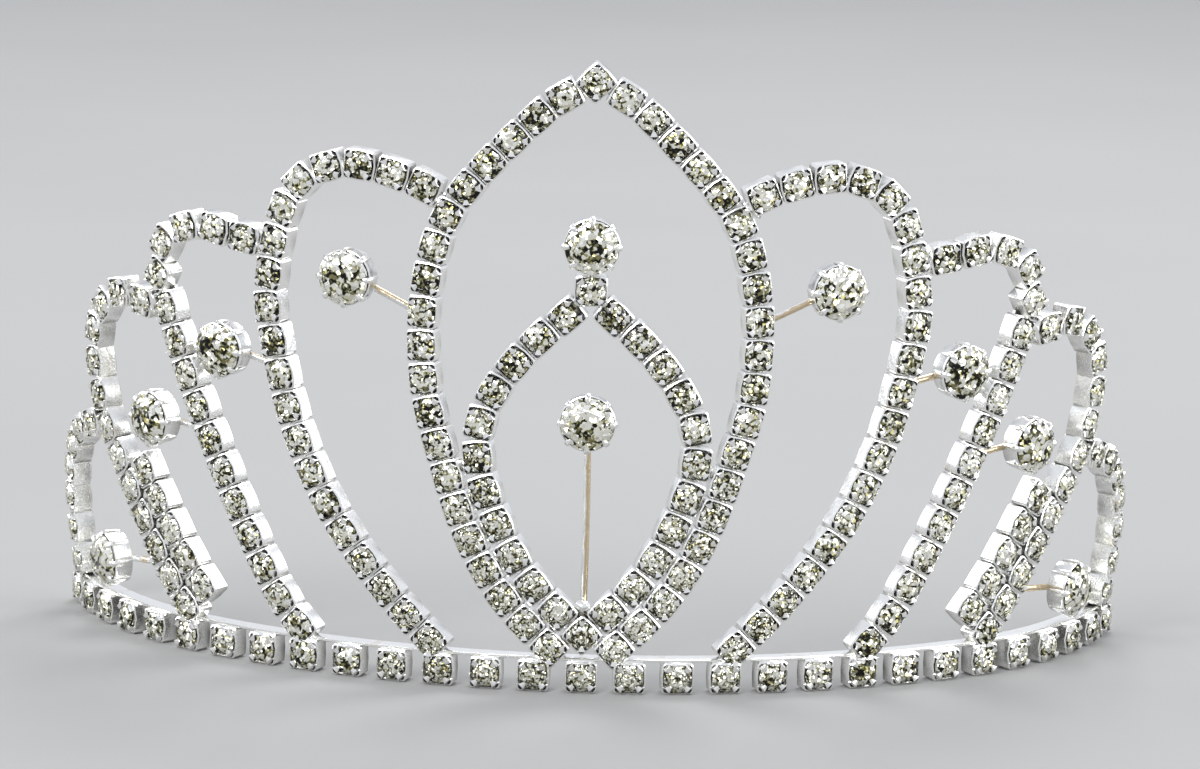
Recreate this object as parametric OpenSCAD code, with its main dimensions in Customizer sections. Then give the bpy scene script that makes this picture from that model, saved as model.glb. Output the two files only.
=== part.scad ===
// Pageant crown: rows of cup chain bent into ogives and hooked arches, soldered to one another
// and to a curved base band, with ten large round stones on wire stems.
// The crown stands on its band, with +Z up and its front towards -Y.
// Every row is drawn on the band's upright surface: s runs along the band from its centre, to the
// right, and h is the height.

/* [Band] */
// Radius of the band's front arc, at the middle of its cups
front_r = 90; // [84:1:100]
// Angle that the front arc turns on each side of the centre
front_turn = 32; // [28:1:35]
// Radius of the band's two side arcs
side_r = 50; // [46:1:56]
// Length of the band from its centre to each end
band_half = 88; // [87:0.5:91]
// Outward flare of the sides above the band, in mm for each mm of height
flare = 0.1; // [0:0.01:0.16]
// Length of a band cup along the band
band_cup_l = 4.2; // [4:0.1:4.6]
// Height of a band cup
band_cup_h = 4.2; // [4.1:0.05:4.4]
// Distance between the middles of two band cups
band_pitch = 6.3; // [6:0.1:6.8]
// Thickness of the strip that lies on the band cups and joins them
rail_h = 0.45; // [0.4:0.05:0.5]
// Width of that strip, from front to back
rail_w = 2.6; // [2.4:0.1:2.8]
// How far the strip reaches out behind the cups
rail_over = 0.4; // [0.3:0.05:0.5]
// How far the strip stands above the band cups
rail_up = 0.3; // [0.25:0.05:0.35]

/* [Cup chain] */
// Width of a cup across its row
cup_w = 4; // [3.9:0.05:4.1]
// Length of a cup along its row
cup_l = 4.05; // [3.9:0.05:4.1]
// Depth of a cup, from its back to its rim
cup_d = 3; // [2.8:0.1:3.2]
// Distance between the middles of two cups of a row
row_pitch = 4.35; // [4.3:0.05:4.5]
// Gap between two rows that run side by side
row_gap = 0.15; // [0.1:0.05:0.25]
// Thickness of a cup's floor
floor_t = 1.1; // [1:0.05:1.2]
// Width of the link between two cups
link_w = 2; // [1.6:0.1:2.4]
// Thickness of the link between two cups
link_t = 0.8; // [0.6:0.05:0.85]

/* [Stones] */
// Width of a small stone across its flats
stone_w = 3.4; // [3.2:0.05:3.45]
// Height of a small stone's crown, above its girdle
crown_h = 0.6; // [0.5:0.05:0.8]
// Depth of a small stone's pavilion, below its girdle
pavilion_h = 1.2; // [1:0.05:1.3]
// Width of a large stone across its flats
large_w = 6.3; // [6:0.1:6.6]
// Height of a large stone's crown
large_crown_h = 1.1; // [0.9:0.05:1.3]
// Depth of a large stone's pavilion
large_pavilion_h = 1.5; // [1.3:0.05:1.6]
// Clearance round every stone in its seat
clearance = 0.12; // [0.1:0.01:0.15]

/* [Settings and stems] */
// Wall of a large stone's setting
setting_t = 0.3; // [0.25:0.05:0.4]
// Width of a claw of a large setting
claw_w = 0.8; // [0.6:0.05:1]
// Thickness of such a claw
claw_t = 0.3; // [0.25:0.05:0.35]
// Diameter of the stem wire
stem_d = 0.9; // [0.8:0.05:1]

/* [Ogives] */
// Height of the outer ogive's tip cup, at its middle
ogive_h = 78.7; // [76:0.5:82]
// Half width of the outer ogive at its widest, at the middle of its row
ogive_reach = 21.4; // [20.5:0.1:22.5]
// Half width of the outer ogive at its foot
ogive_foot = 2.8; // [2.6:0.1:3.2]
// Height of the inner ogive's tip cup, at its middle
inner_h = 52.2; // [51:0.1:52.4]
// Half width of the inner ogive at its widest
inner_reach = 13.9; // [13.4:0.1:14.2]
// Height of the crotch, where the inner ogive leaves the outer one
crotch_h = 28; // [26:0.5:29]

/* [Arches] */
// Height of the first arch, beside the ogive
arch_1_h = 66.8; // [64:0.2:69]
// Farthest reach of the first arch along the band
arch_1_reach = 42.4; // [41.6:0.2:43.2]
// Place of the first arch's foot along the band
arch_1_foot = 18.2; // [17:0.2:20]
// Height of the second arch
arch_2_h = 57; // [55:0.2:59]
// Farthest reach of the second arch
arch_2_reach = 59.4; // [58.6:0.2:60.2]
// Place of the second arch's foot
arch_2_foot = 36.2; // [35:0.2:38]
// Height of the third arch
arch_3_h = 46.3; // [45:0.2:48]
// Farthest reach of the third arch
arch_3_reach = 73; // [72:0.2:74]
// Place of the third arch's foot
arch_3_foot = 54.2; // [53:0.2:55]
// Height of the top of the third arch's second row
arch_3_double_h = 25.8; // [25.4:0.1:26]
// Height of the fourth arch
arch_4_h = 27.4; // [26.5:0.1:28.5]
// Farthest reach of the fourth arch
arch_4_reach = 86.3; // [85.5:0.1:87]
// Distance of the fourth arch's foot from the band's end
arch_4_inset = 3.8; // [3.4:0.1:4.2]

/* [Large stones] */
// Height of the large stone on the inner ogive's tip
tip_stone_h = 57.9; // [57.5:0.1:60]
// Height of the large stone inside the inner ogive
centre_stone_h = 35.2; // [30:0.5:37]
// Place of the first arch's large stone along the band
large_1_s = 31.6; // [30:0.2:33]
// Height of the first arch's large stone
large_1_h = 52.2; // [48:0.2:56]
// Place of the second arch's large stone
large_2_s = 49.6; // [48.6:0.2:50]
// Height of the second arch's large stone
large_2_h = 41; // [39:0.2:44]
// Place of the third arch's large stone
large_3_s = 61.2; // [60.6:0.1:61.6]
// Height of the third arch's large stone
large_3_h = 30.3; // [30.2:0.1:31.4]
// Place of the fourth arch's large stone
large_4_s = 73; // [71:0.2:76]
// Height of the fourth arch's large stone
large_4_h = 9; // [8.9:0.1:13]

/* [Hidden] */

metal = "silver";
crystal = "gainsboro";

// Distance between the middles of two rows that run side by side
row_step = cup_w + row_gap;

// Sides of a stone and of its seat
facets = 8;
// Share of a stone's width that its table takes
table_share = 0.58;
// How far a stone's girdle lies below its cup's rim
girdle_drop = 0.3;
// How far soldered pieces bite into each other
bite = 0.3;
// Size of a blob of solder
solder = 1.6;
// Least distance from the middle of an arch's first cup to the row that the arch leaves
first_room = 0.92 * row_step;
// Share of the ogive's or arch's own height at which the next arch meets it
join_shares = [0.792, 0.832, 0.8, 0.605];

band_top = band_cup_h + rail_up;
rim = cup_d / 2;
cup_floor = floor_t - cup_d / 2;
stem_z = cup_floor - floor_t / 2;
seat_w = stone_w + 2 * clearance;
large_seat_w = large_w + 2 * clearance;
setting_w = large_seat_w + 2 * setting_t;
front_s = front_r * front_turn * PI / 180;
arch_4_foot = band_half - arch_4_inset;

// Angle that the band has turned at a place along it, in degrees
function turn(s) = sign(s) * (abs(s) < front_s
    ? abs(s) / front_r * 180 / PI
    : front_turn + (abs(s) - front_s) / side_r * 180 / PI);

// Middle of the band in plan, counted from its front
function plan(s) = let (a = abs(turn(s)), b = min(a, front_turn)) [
    sign(s) * (front_r * sin(b) + side_r * (sin(a) - sin(b))),
    front_r * (1 - cos(b)) + side_r * (cos(b) - cos(a))
];

// The crown's middle from front to back: the large stones' tables at the front and the rail's ends
// at the back are the same distance from the origin
front_face = rim + large_crown_h;
back_face = plan(band_half)[1] + (rim + rail_over) * cos(turn(band_half));
centre_y = (back_face - front_face) / 2;

// Outward lean of the upright surface, in mm for each mm of height; it starts above the band
function slope(s) = flare * pow(sin(turn(s)), 2);

// Point of the upright surface
function spot(s, h) = let (a = turn(s), p = plan(s), out = slope(s) * max(h - band_top, 0)) [
    p[0] + out * sin(a),
    p[1] - out * cos(a) - centre_y,
    h
];

// Directions along the upright surface, up it and out of it
function along_at(s) = [cos(turn(s)), sin(turn(s)), 0];
function up_at(s, h) = let (
    lean = h > band_top ? slope(s) : 0,
    rise = [lean * sin(turn(s)), -lean * cos(turn(s)), 1]
) rise / norm(rise);
function out_at(s, h) = cross(along_at(s), up_at(s, h));

// Puts a piece on the upright surface: x along its row, y across it, z outward
module stand(s, h, heading) {
    along = along_at(s);
    up = up_at(s, h);
    out = out_at(s, h);
    x = along * cos(heading) + up * sin(heading);
    y = up * cos(heading) - along * sin(heading);
    p = spot(s, h);
    multmatrix([
        [x[0], y[0], out[0], p[0]],
        [x[1], y[1], out[1], p[1]],
        [x[2], y[2], out[2], p[2]]
    ])
        children();
}

// Steps between two points of a smooth curve, and along each half of the band's strip
steps = 8;
rail_steps = 40;

// Smooth curve through points, cut into short steps
function bend(a, b, c, d, t) = (2 * b + (c - a) * t + (2 * a - 5 * b + 4 * c - d) * t * t
    + (3 * b - a - 3 * c + d) * t * t * t) / 2;
function smooth(points) = let (last = len(points) - 1) [
    for (i = [0 : last - 1])
        for (j = [0 : steps - 1])
            bend(points[max(i - 1, 0)], points[i], points[i + 1], points[min(i + 2, last)], j / steps),
    points[last]
];

// Length run along a curve at each of its points
function runs(line) = [
    for (i = 0, run = 0; i < len(line); i = i + 1,
         run = i < len(line) ? run + norm(line[i] - line[i - 1]) : run)
        run
];
function length(line) = let (r = runs(line)) r[len(r) - 1];

// Point of a curve at a length along it, and the heading there
function point_at(line, run) = let (r = runs(line)) [
    lookup(run, [for (i = [0 : len(line) - 1]) [r[i], line[i][0]]]),
    lookup(run, [for (i = [0 : len(line) - 1]) [r[i], line[i][1]]])
];
function heading_at(line, run) = let (
    a = point_at(line, max(run - cup_l / 4, 0)),
    b = point_at(line, min(run + cup_l / 4, length(line)))
) atan2(b[1] - a[1], b[0] - a[0]);

// Cups of a row, from one length along its curve to another: each is [s, h, heading]
function cups(line, from, to) = let (n = max(round((to - from) / row_pitch), 1), step = (to - from) / n) [
    for (i = [0 : n - 1])
        let (run = from + (i + 0.5) * step, p = point_at(line, run))
            [p[0], p[1], heading_at(line, run)]
];
function flip(row) = [for (c = row) [-c[0], c[1], 180 - c[2]]];

// Where a curve's descending part is at a height
function leg_at(line, h) = let (down = [
    for (i = [len(line) - 1 : -1 : 1])
        if (line[i][1] < line[i - 1][1]) [line[i][1], line[i][0]]
]) lookup(h, down);

// A curve moved sideways towards the centre
function beside(line, gap) = [
    for (i = [1 : len(line) - 2])
        let (d = line[i + 1] - line[i - 1], u = d / norm(d))
            [line[i][0] + u[1] * gap, line[i][1] - u[0] * gap]
];
function below(line, h) = [for (p = line) if (p[1] < h) p];
function right_of(line, s) = [for (p = line) if (p[0] > s) p];

// Hand-drawn shapes. crown points: [share of the way from the join to the reach, share of height].
// leg points: [share of the way from the foot to the reach, share of height].
ogive_crown = [[0.23, 0.967], [0.47, 0.906], [0.7, 0.838], [0.86, 0.775], [0.955, 0.698], [1, 0.6]];
ogive_leg = [[0.97, 0.49], [0.87, 0.4], [0.71, 0.286], [0.53, 0.198], [0.31, 0.128]];
inner_crown = [[0.18, 0.945], [0.48, 0.873], [0.77, 0.78], [0.96, 0.683], [1, 0.595]];
arch_1_crown = [[0.14, 0.965], [0.36, 0.992], [0.58, 1], [0.79, 0.97], [0.92, 0.9], [1, 0.757]];
arch_1_leg = [[0.975, 0.66], [0.843, 0.482], [0.62, 0.322], [0.298, 0.174]];
arch_2_crown = [[0.3, 0.985], [0.62, 1], [0.88, 0.97], [1, 0.9]];
arch_2_leg = [[0.955, 0.82], [0.76, 0.612], [0.466, 0.36], [0.2, 0.17]];
arch_3_crown = [[0.3, 0.99], [0.6, 1], [0.87, 0.937], [1, 0.842]];
arch_3_leg = [[0.985, 0.735], [0.91, 0.627], [0.74, 0.516], [0.3, 0.246]];
arch_4_crown = [[0.3, 0.99], [0.63, 0.9], [0.89, 0.73], [1, 0.547]];
arch_4_leg = [[0.76, 0.365]];

function shape(start, reach, foot, tall, crown, leg) = smooth([
    start,
    for (p = crown) [start[0] + p[0] * (reach - start[0]), p[1] * tall],
    for (p = leg) [foot + p[0] * (reach - foot), p[1] * tall],
    [foot, band_top]
]);
function join(line, tall, share) = [leg_at(line, share * tall), share * tall];

ogive = shape([0, ogive_h], ogive_reach, ogive_foot, ogive_h, ogive_crown, ogive_leg);
arch_1 = shape(join(ogive, ogive_h, join_shares[0]), arch_1_reach, arch_1_foot, arch_1_h,
    arch_1_crown, arch_1_leg);
arch_2 = shape(join(arch_1, arch_1_h, join_shares[1]), arch_2_reach, arch_2_foot, arch_2_h,
    arch_2_crown, arch_2_leg);
arch_3 = shape(join(arch_2, arch_2_h, join_shares[2]), arch_3_reach, arch_3_foot, arch_3_h,
    arch_3_crown, arch_3_leg);
arch_4 = shape(join(arch_3, arch_3_h, join_shares[3]), arch_4_reach, arch_4_foot, arch_4_h,
    arch_4_crown, arch_4_leg);
ogive_inner_side = right_of(below(beside(ogive, row_step), crotch_h), 0);
inner = concat(
    smooth([
        [0, inner_h],
        for (p = inner_crown) [p[0] * inner_reach, p[1] * inner_h],
        ogive_inner_side[0]
    ]),
    [for (i = [1 : len(ogive_inner_side) - 1]) ogive_inner_side[i]]
);
arch_3_double = below(beside(arch_3, row_step), arch_3_double_h);

// Cups at the ogives' tips and at their foot. The foot cup stands on its corner, where the inner
// edges of the outer ogive's two legs meet
ogive_tip = [0, ogive_h, 45];
inner_tip = [0, inner_h, 0];
foot_cup = [0, band_top + row_step / sin(45) - ogive_foot, 45];

// Distance from a point to a curve
function gap_to(p, line) = min([
    for (i = [1 : len(line) - 1])
        let (a = line[i - 1], d = line[i] - a, t = (p - a) * d / (d * d))
            norm(p - a - max(min(t, 1), 0) * d)
]);

// Length along a curve at which its row starts, so that its first cup's middle is clear of the row
// that the curve leaves
from_join = cup_w / 2 + row_gap;
function start_of(line, parent) = let (clear = [
    for (run = [from_join : link_t / 4 : 3 * row_pitch])
        if (gap_to(point_at(line, run + row_pitch / 2), parent) > first_room) run
]) clear[0];

// Rows of cups on the right-hand side
function to_foot(line) = length(line) + bite;
function arch_row(line, parent) = cups(line, start_of(line, parent), to_foot(line));
inner_end = inner[len(inner) - 1];
inner_to_foot_cup = length(inner) + norm(inner_end - [foot_cup[0], foot_cup[1]]);
ogive_row = cups(ogive, from_join, to_foot(ogive));
inner_row = cups(inner, from_join, inner_to_foot_cup - from_join);
inner_last = inner_row[len(inner_row) - 1];
arch_1_row = arch_row(arch_1, ogive);
arch_2_row = arch_row(arch_2, arch_1);
arch_3_row = arch_row(arch_3, arch_2);
arch_3_double_row = cups(arch_3_double, 0, length(arch_3_double) + bite);
arch_4_row = arch_row(arch_4, arch_3);

// Places where two rows side by side are soldered to each other
function seams(row) = [
    for (c = row)
        if (c[1] < crotch_h)
            [c[0] - row_step / 2 * sin(c[2]), c[1] + row_step / 2 * cos(c[2]), c[2]]
];
double_seams = concat(seams(inner_row), seams(arch_3_double_row));

band_n = round((band_half - band_cup_l / 2) / band_pitch);
band_row = [
    for (i = [-band_n : band_n])
        [i * (band_half - band_cup_l / 2) / band_n, band_cup_h / 2, 0]
];

// Large stones: each is [s, h] and the [s, h] of the cup floor that its stem is soldered to
tip_stone = [0, tip_stone_h];
centre_stone = [0, centre_stone_h];
large = [
    [large_1_s, large_1_h], [large_2_s, large_2_h], [large_3_s, large_3_h], [large_4_s, large_4_h]
];
// How far below its stone a stem ends
stem_falls = [4.6, 1.8, 1, -1.5];
legs = [ogive, arch_1, arch_2, arch_3];
stem_end = [
    for (k = [0 : 3])
        let (h = large[k][1] - stem_falls[k])
            [leg_at(legs[k], h), h]
];

stones_on_stems = concat(
    [[tip_stone, inner_tip], [centre_stone, [0, foot_cup[1] + cup_w / 2]]],
    [for (side = [-1, 1])
        for (k = [0 : 3])
            [[side * large[k][0], large[k][1]], [side * stem_end[k][0], stem_end[k][1]]]]
);
joins = [
    for (line = [arch_1, arch_2, arch_3, arch_4])
        for (p = [point_at(line, from_join), line[len(line) - 1]])
            [p[0], p[1], 0]
];
right_rows = concat(ogive_row, inner_row, arch_1_row, arch_2_row, arch_3_row, arch_3_double_row,
    arch_4_row);
all_cups = concat(band_row, right_rows, flip(right_rows), [ogive_tip, inner_tip, foot_cup]);

// A cut stone: an octagonal table, sixteen crown facets and eight pavilion facets
module cut_stone(w, crown, pavilion) {
    r = w / 2 / cos(180 / facets);
    table = [for (i = [0 : facets - 1]) let (a = i * 360 / facets)
        [r * table_share * cos(a), r * table_share * sin(a), crown]];
    girdle = [for (i = [0 : facets - 1]) let (a = (i + 0.5) * 360 / facets)
        [r * cos(a), r * sin(a), 0]];
    n = facets;
    color(crystal)
        polyhedron(
            points = concat(table, girdle, [[0, 0, -pavilion]]),
            faces = concat(
                [[for (i = [n - 1 : -1 : 0]) i]],
                [for (i = [0 : n - 1]) [i, (i + 1) % n, n + i]],
                [for (i = [0 : n - 1]) [(i + 1) % n, n + (i + 1) % n, n + i]],
                [for (i = [0 : n - 1]) [n + i, n + (i + 1) % n, 2 * n]]
            ),
            convexity = 2
        );
}

module small_stones(row) {
    for (c = row)
        stand(c[0], c[1], c[2])
            translate([0, 0, rim - girdle_drop])
                cut_stone(stone_w, crown_h, pavilion_h);
}

module large_stone(p) {
    stand(p[0], p[1], 0)
        translate([0, 0, rim])
            cut_stone(large_w, large_crown_h, large_pavilion_h);
}

// Box-shaped cup
module cup(l, w) {
    translate([-l / 2, -w / 2, -rim])
        cube([l, w, cup_d]);
}

// Octagonal seat that is cut for a stone, open to the front
module seat(w) {
    translate([0, 0, cup_floor])
        rotate([0, 0, 180 / facets])
            cylinder(h = 2 * cup_d, r = w / 2 / cos(180 / facets), $fn = facets);
}

module row_metal(row) {
    for (c = row)
        stand(c[0], c[1], c[2])
            cup(cup_l, cup_w);
    for (i = [1 : len(row) - 1])
        link(row[i - 1], row[i]);
}

// Link between two cups, inside the thickness of their floors
module link(a, b) {
    gap = norm([b[0] - a[0], b[1] - a[1]]);
    stand((a[0] + b[0]) / 2, (a[1] + b[1]) / 2, atan2(b[1] - a[1], b[0] - a[0]))
        translate([-gap / 4, -link_w / 2, stem_z - link_t / 2])
            cube([gap / 2, link_w, link_t]);
}

// Solder that bridges two pieces, inside the thickness of their floors
module solder_at(row) {
    for (c = row)
        stand(c[0], c[1], c[2])
            translate([-solder / 2, -solder / 2, stem_z - link_t / 2])
                cube([solder, solder, link_t]);
}

module setting(p) {
    stand(p[0], p[1], 0) {
        translate([0, 0, -rim])
            cylinder(h = cup_d - girdle_drop, r = setting_w / 2, $fn = 48);
        for (i = [0 : facets - 1])
            rotate([0, 0, i * 360 / facets])
                translate([large_seat_w / 2, -claw_w / 2, cup_floor])
                    cube([claw_t + setting_t / 2, claw_w, rim - cup_floor + large_crown_h / 2]);
    }
}

// Stem of wire between two places of the surface
module stem(a, b) {
    from = spot(a[0], a[1]) + stem_z * out_at(a[0], a[1]);
    to = spot(b[0], b[1]) + stem_z * out_at(b[0], b[1]);
    d = to - from;
    translate(from)
        rotate([0, acos(d[2] / norm(d)), atan2(d[1], d[0])])
            cylinder(h = norm(d), r = stem_d / 2, $fn = 24);
}

// Strip on top of the band cups, which follows the band's plan
module rail() {
    back = rail_edge(rim + rail_over);
    front = rail_edge(rim + rail_over - rail_w);
    translate([0, 0, band_top - rail_h])
        linear_extrude(height = rail_h)
            polygon(concat(front, [for (i = [len(back) - 1 : -1 : 0]) back[i]]));
}
function rail_edge(behind) = [
    for (i = [-rail_steps : rail_steps])
        let (s = i / rail_steps * band_half, a = turn(s), p = plan(s))
            [p[0] - behind * sin(a), p[1] + behind * cos(a) - centre_y]
];

module each_side(row) {
    row_metal(row);
    row_metal(flip(row));
}

module frame_metal() {
    rail();
    for (c = band_row)
        stand(c[0], c[1], 0)
            cup(band_cup_l, band_cup_h);
    each_side(ogive_row);
    each_side(inner_row);
    each_side(arch_1_row);
    each_side(arch_2_row);
    each_side(arch_3_row);
    each_side(arch_3_double_row);
    each_side(arch_4_row);
    for (c = [ogive_tip, inner_tip, foot_cup])
        stand(c[0], c[1], c[2])
            cup(cup_w, cup_w);
    for (tip = [[ogive_tip, ogive_row[0]], [inner_tip, inner_row[0]], [foot_cup, inner_last]]) {
        link(tip[0], tip[1]);
        link(tip[0], flip([tip[1]])[0]);
    }
    solder_at(concat(double_seams, joins));
    solder_at(flip(concat(double_seams, joins)));
    for (p = stones_on_stems)
        setting(p[0]);
    for (p = stones_on_stems)
        stem(p[0], p[1]);
}

module seats() {
    for (c = all_cups)
        stand(c[0], c[1], c[2])
            seat(seat_w);
    for (p = stones_on_stems)
        stand(p[0][0], p[0][1], 0)
            seat(large_seat_w);
}

module frame() {
    color(metal)
        difference() {
            frame_metal();
            seats();
        }
}

frame();
small_stones(band_row);  // band_stones
small_stones([foot_cup]);  // foot_stone
small_stones(concat([ogive_tip], ogive_row, flip(ogive_row)));  // outer_ogive_stones
small_stones(concat([inner_tip], inner_row, flip(inner_row)));  // inner_ogive_stones
small_stones(flip(arch_1_row));  // arch_1_stones_left
small_stones(arch_1_row);  // arch_1_stones_right
small_stones(flip(arch_2_row));  // arch_2_stones_left
small_stones(arch_2_row);  // arch_2_stones_right
small_stones(flip(arch_3_row));  // arch_3_stones_left
small_stones(arch_3_row);  // arch_3_stones_right
small_stones(flip(arch_3_double_row));  // arch_3_second_row_left
small_stones(arch_3_double_row);  // arch_3_second_row_right
small_stones(flip(arch_4_row));  // arch_4_stones_left
small_stones(arch_4_row);  // arch_4_stones_right
large_stone(tip_stone);  // large_stone_tip
large_stone(centre_stone);  // large_stone_centre
large_stone([-large_1_s, large_1_h]);  // large_stone_1_left
large_stone([large_1_s, large_1_h]);  // large_stone_1_right
large_stone([-large_2_s, large_2_h]);  // large_stone_2_left
large_stone([large_2_s, large_2_h]);  // large_stone_2_right
large_stone([-large_3_s, large_3_h]);  // large_stone_3_left
large_stone([large_3_s, large_3_h]);  // large_stone_3_right
large_stone([-large_4_s, large_4_h]);  // large_stone_4_left
large_stone([large_4_s, large_4_h]);  // large_stone_4_right
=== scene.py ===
"""Pageant crown: silver-plated cup chain set with foil-backed crystal.

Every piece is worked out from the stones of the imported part: a stone's girdle and table give the
middle of its cup, the way that it faces and the way that its row runs.
"""

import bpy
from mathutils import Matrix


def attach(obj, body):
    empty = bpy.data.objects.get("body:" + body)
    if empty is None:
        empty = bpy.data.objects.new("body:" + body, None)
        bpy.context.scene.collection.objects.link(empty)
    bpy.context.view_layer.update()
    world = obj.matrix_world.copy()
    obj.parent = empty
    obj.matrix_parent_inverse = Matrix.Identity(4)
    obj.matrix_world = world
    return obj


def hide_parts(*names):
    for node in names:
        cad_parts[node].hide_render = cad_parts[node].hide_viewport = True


bl_info = {
    "name": "Pageant Crown",
    "version": (1, 0, 0),
    "blender": (4, 5, 0),
    "location": "3D View > Sidebar > Crown",
    "description": "Claw cups, cut stones, prong settings and wire stems of a cup chain crown",
    "category": "Add Mesh",
}

import bpy
import numpy as np
from bpy.props import FloatProperty, FloatVectorProperty, PointerProperty
from mathutils import Matrix

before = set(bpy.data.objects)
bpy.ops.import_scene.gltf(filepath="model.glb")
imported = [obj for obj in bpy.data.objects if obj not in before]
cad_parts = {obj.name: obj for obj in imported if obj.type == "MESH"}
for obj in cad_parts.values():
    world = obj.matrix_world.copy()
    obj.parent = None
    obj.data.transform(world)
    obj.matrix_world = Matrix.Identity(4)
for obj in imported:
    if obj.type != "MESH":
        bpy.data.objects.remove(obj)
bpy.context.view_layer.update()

MM = 0.001
LARGE = "large_stone"
LARGE_STONES = sorted(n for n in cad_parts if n.startswith(LARGE))
ROWS = sorted(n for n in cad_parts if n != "frame" and n not in LARGE_STONES)
BAND = "band_stones"
FOOT = "foot_stone"
INNER = "inner_ogive_stones"

# A packed stone has eight table corners, eight girdle corners and one culet
FACETS = 8
STONE_POINTS = 2 * FACETS + 1

# Cups of a row are neighbours up to the first number of cup lengths apart, and solder joins cups of
# two rows up to the second
NEXT_CUP = 1.35
SOLDERED = 1.28

# Seeds of the random numbers, for each kind of piece
LARGE_SEED, CUP_SEED, SETTING_SEED, SOLDER_SEED, LUMP_SEED, RUN_SEED = 100, 200, 300, 400, 7, 11

# Rings of a stem, and steps of the strip's path from one band cup to the next
STEM_RINGS = 25
STRIP_STEPS = 6


def linear(code):
    """Linear colour of an sRGB hex code: a channel c is c / 12.92 up to 0.04045, and otherwise
    (c + 0.055) / 1.055 to the power 2.4."""
    c = np.array([int(code[i : i + 2], 16) for i in (1, 3, 5)]) / 255
    return tuple(float(v) for v in np.where(c <= 0.04045, c / 12.92, ((c + 0.055) / 1.055) ** 2.4))


def length(label, what, size_mm):
    return FloatProperty(name=label, description=what, default=size_mm * MM, min=0, unit="LENGTH")


def share(label, what, value):
    return FloatProperty(name=label, description=what, default=value, min=0, max=1, subtype="FACTOR")


def colour(label, what, code):
    return FloatVectorProperty(name=label, description=what, default=linear(code), subtype="COLOR")


def angle(label, what, degrees):
    turn = float(np.radians(degrees))
    return FloatProperty(name=label, description=what, default=turn, subtype="ANGLE")


def number(label, what, value):
    return FloatProperty(name=label, description=what, default=value, min=0)


class CupSizes(bpy.types.PropertyGroup):
    run: length("Length", "Length of a cup along its row", 4.05)
    wide: length("Width", "Width of a cup across its row", 4)
    band_run: length("Band cup length", "Length of a cup of the band", 4.2)
    band_wide: length("Band cup height", "Height of a cup of the band", 4.2)
    back: length("Back", "How far a cup's back lies behind the row's middle surface", 1.5)
    rim: length("Rim", "How far a cup's rim stands in front of that surface", 1.3)
    wall: length("Wall", "Thickness of a cup's wall", 0.17)
    dip: length("Dip", "How far the rim dips between two claws", 0.3)
    gap: length("Gap", "Gap between two cups of a row", 0.06)
    claw_wide: length("Claw width", "Width of a claw at its foot", 1.45)
    claw_thick: length("Claw thickness", "Thickness of a claw", 0.3)
    link_wide: length("Link width", "Width of the strap between two cups", 2.2)
    link_thick: length("Link thickness", "Thickness of that strap", 0.7)
    link_depth: length("Link depth", "How far the straps, stems and solder lie behind the middle", 0.95)
    strip_wide: length("Strip width", "Width of the strip on the band cups", 2.6)
    strip_thick: length("Strip thickness", "Thickness of that strip", 0.45)
    strip_behind: length("Strip reach", "How far the strip reaches behind the band's middle", 1.9)
    strip_up: length("Strip rise", "How far the strip stands above the band cups", 0.3)


class StoneSizes(bpy.types.PropertyGroup):
    small: length("Small stone", "Width of a stone of a row", 3.6)
    small_girdle: length("Small girdle", "Height of its girdle above the middle surface", 1.2)
    small_crown: length("Small crown", "Height of its table above its girdle", 0.6)
    small_depth: length("Small pavilion", "Depth of its point below its girdle", 1.2)
    large: length("Large stone", "Width of a large stone", 6.9)
    large_girdle: length("Large girdle", "Height of its girdle above the middle surface", 1.5)
    large_crown: length("Large crown", "Height of its table above its girdle", 1.1)
    large_depth: length("Large pavilion", "Depth of its point below its girdle", 1.5)
    table: share("Table", "Share of the stone's width that the table takes", 0.56)


class SettingSizes(bpy.types.PropertyGroup):
    ring: length("Ring", "Outer radius of a large stone's setting", 3.62)
    wall: length("Wall", "Thickness of the setting's wall", 0.28)
    front: length("Front", "How far the ring stands in front of the middle surface", 1.3)
    claw_reach: length("Claw reach", "Outer radius of the ring of claws", 3.93)
    claw_top: length("Claw top", "Height of the claws above the middle surface", 2.04)
    claw_wide: length("Claw width", "Width of a claw", 0.8)
    stem: length("Stem", "Radius of the stem wire", 0.45)


class MetalLook(bpy.types.PropertyGroup):
    silver: colour("Silver", "Bright silver plate", "#FAFAF7")
    # The dark colour that the metal takes with depth: tarnished silver, and painted shade in the
    # recesses and between the cups
    tarnish: colour("Tarnish", "Silver sulphide in the recesses", "#2A261C")
    brass: colour("Brass", "Brass that shows where the plate is thin", "#C6A768")
    polish: share("Roughness", "Roughness of the polished plate", 0.2)


class CrystalLook(bpy.types.PropertyGroup):
    night: colour("Dark facet", "A facet that looks past the foil", "#0B0C07")
    olive: colour("Olive facet", "A facet that sees the warm side of the foil", "#67683A")
    smoke: colour("Grey facet", "A facet in half light", "#BDB97E")
    gold: colour("Golden facet", "A facet that sees the brass of the cup", "#ADA572")
    spark: colour("Bright facet", "A facet that mirrors the foil", "#FFFFF6")
    facet: length("Facet", "Width of one reflection inside a small stone", 0.72)
    large_facet: length("Large facet", "Width of one reflection inside a large stone", 0.95)


class StageLook(bpy.types.PropertyGroup):
    floor: colour("Floor", "Pale matt paper", "#999998")
    floor_reach: number("Floor reach", "Distance from the crown to the floor's edges, in metres", 3.0)
    sky: number("Ambient", "Strength of the even light from all sides", 0.84)
    key: number("Key light", "Power of the light at the upper left, in watts", 9.0)
    fill: number("Fill light", "Power of the light at the right, in watts", 3.5)
    back: number("Back light", "Power of the light behind and above, in watts", 4.0)
    side: number("Side lights", "Power of each of the two large lights at the sides, in watts", 5.0)


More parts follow.
